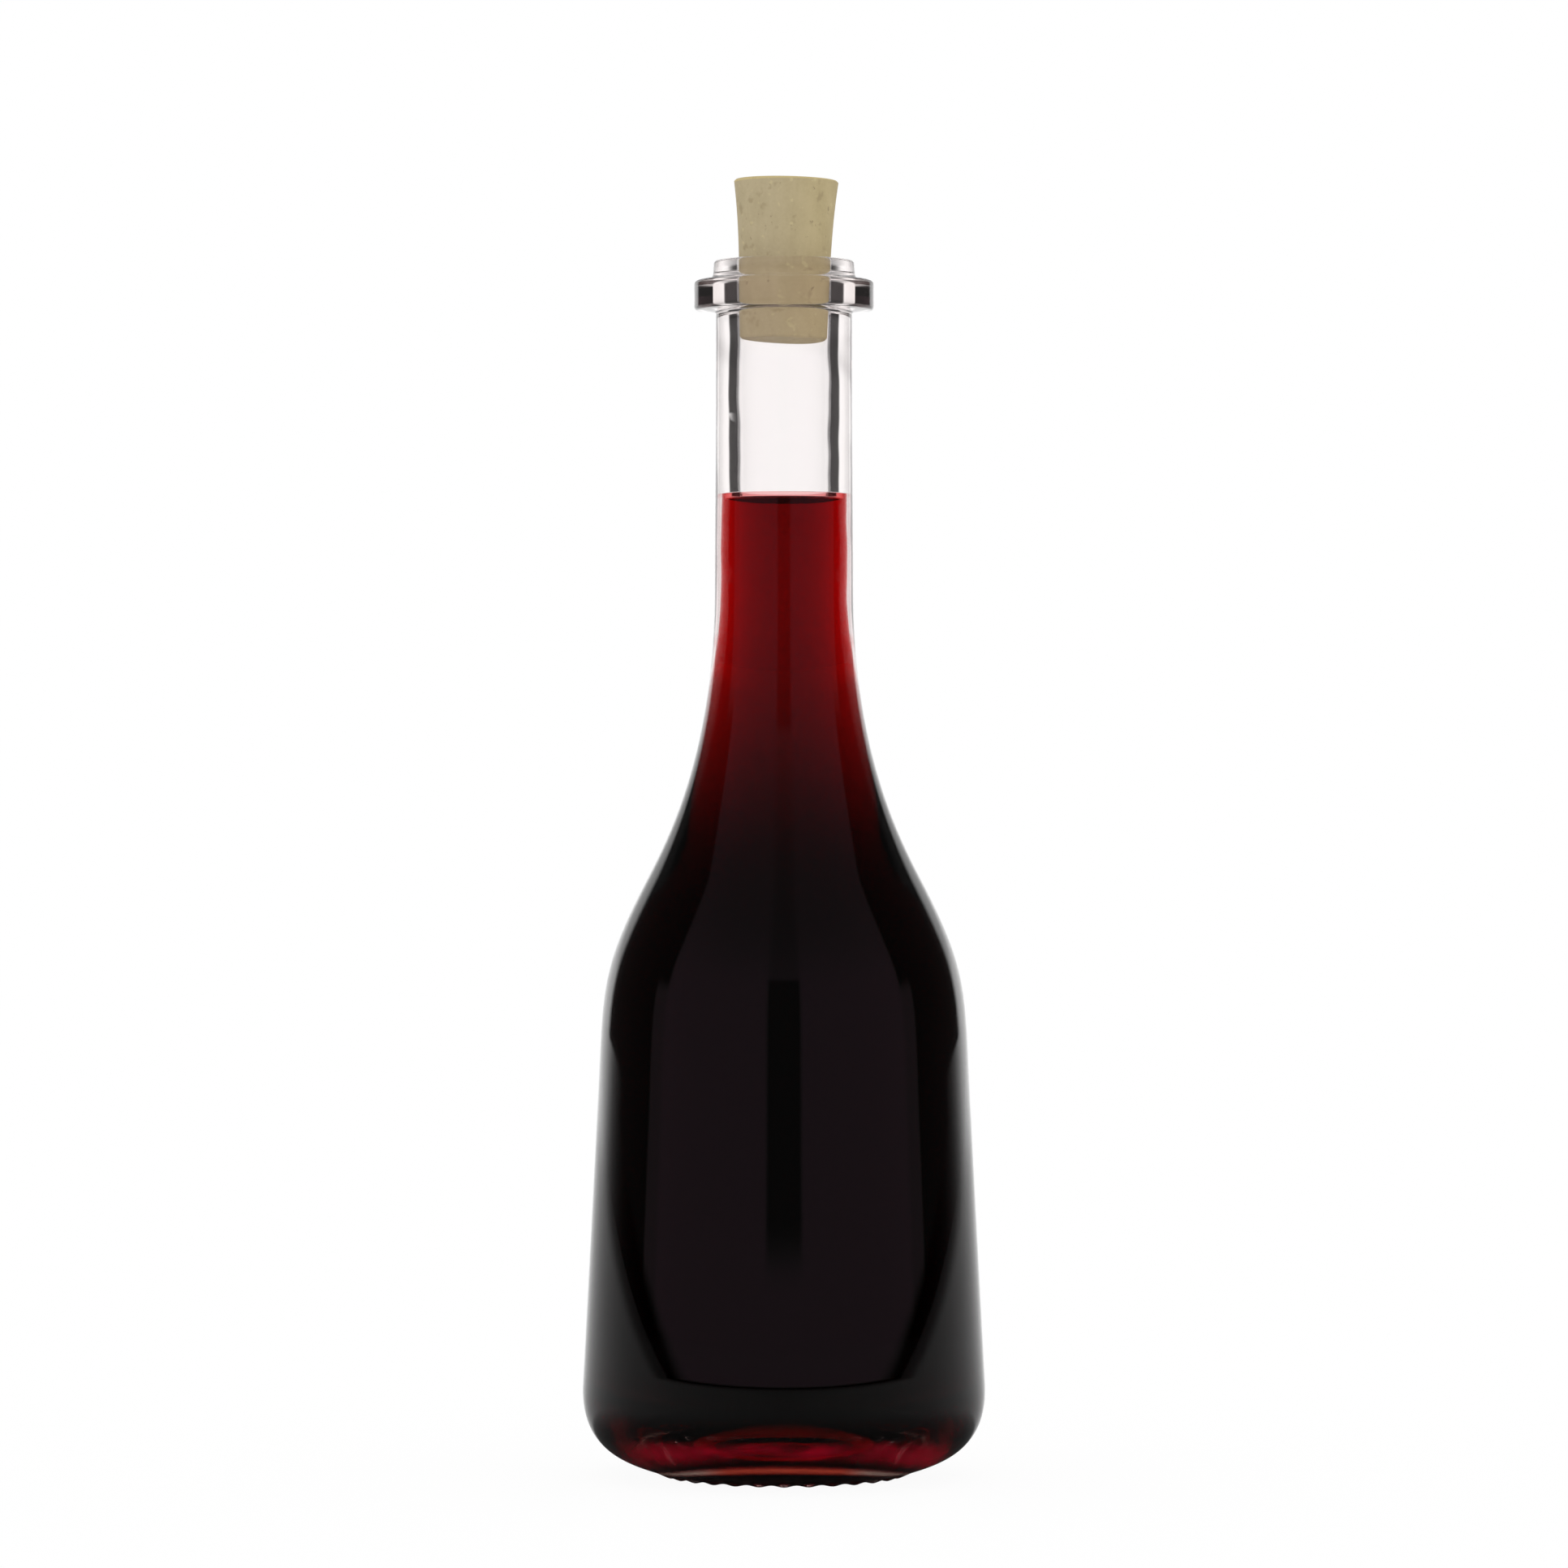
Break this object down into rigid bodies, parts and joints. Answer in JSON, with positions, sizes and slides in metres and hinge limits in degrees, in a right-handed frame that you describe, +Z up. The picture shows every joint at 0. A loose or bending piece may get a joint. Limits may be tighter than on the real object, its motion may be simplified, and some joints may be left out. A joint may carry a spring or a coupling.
{
  "type": "corked glass bottle",
  "caption": "Round clear glass bottle with a long neck, a ring under its lip and a knurled foot, shut by a tapered cork and filled with red drink up to the neck.",
  "frame": {"origin": "centre of the foot on the surface that the bottle stands on", "axes": "+Z up along the bottle's axis, towards the cork; the picture looks along +Y with +X to the right"},
  "size_m": [0.0834, 0.0834, 0.2682],
  "materials": {
    "glass": "clear, polished",
    "cork": "matt, fine-pored",
    "red_drink": "clear dark red"
  },
  "bodies": {
    "root": {"glass_bottle": "glass", "cork_stopper": "cork", "drink": "red_drink"}
  },
  "joints": []
}
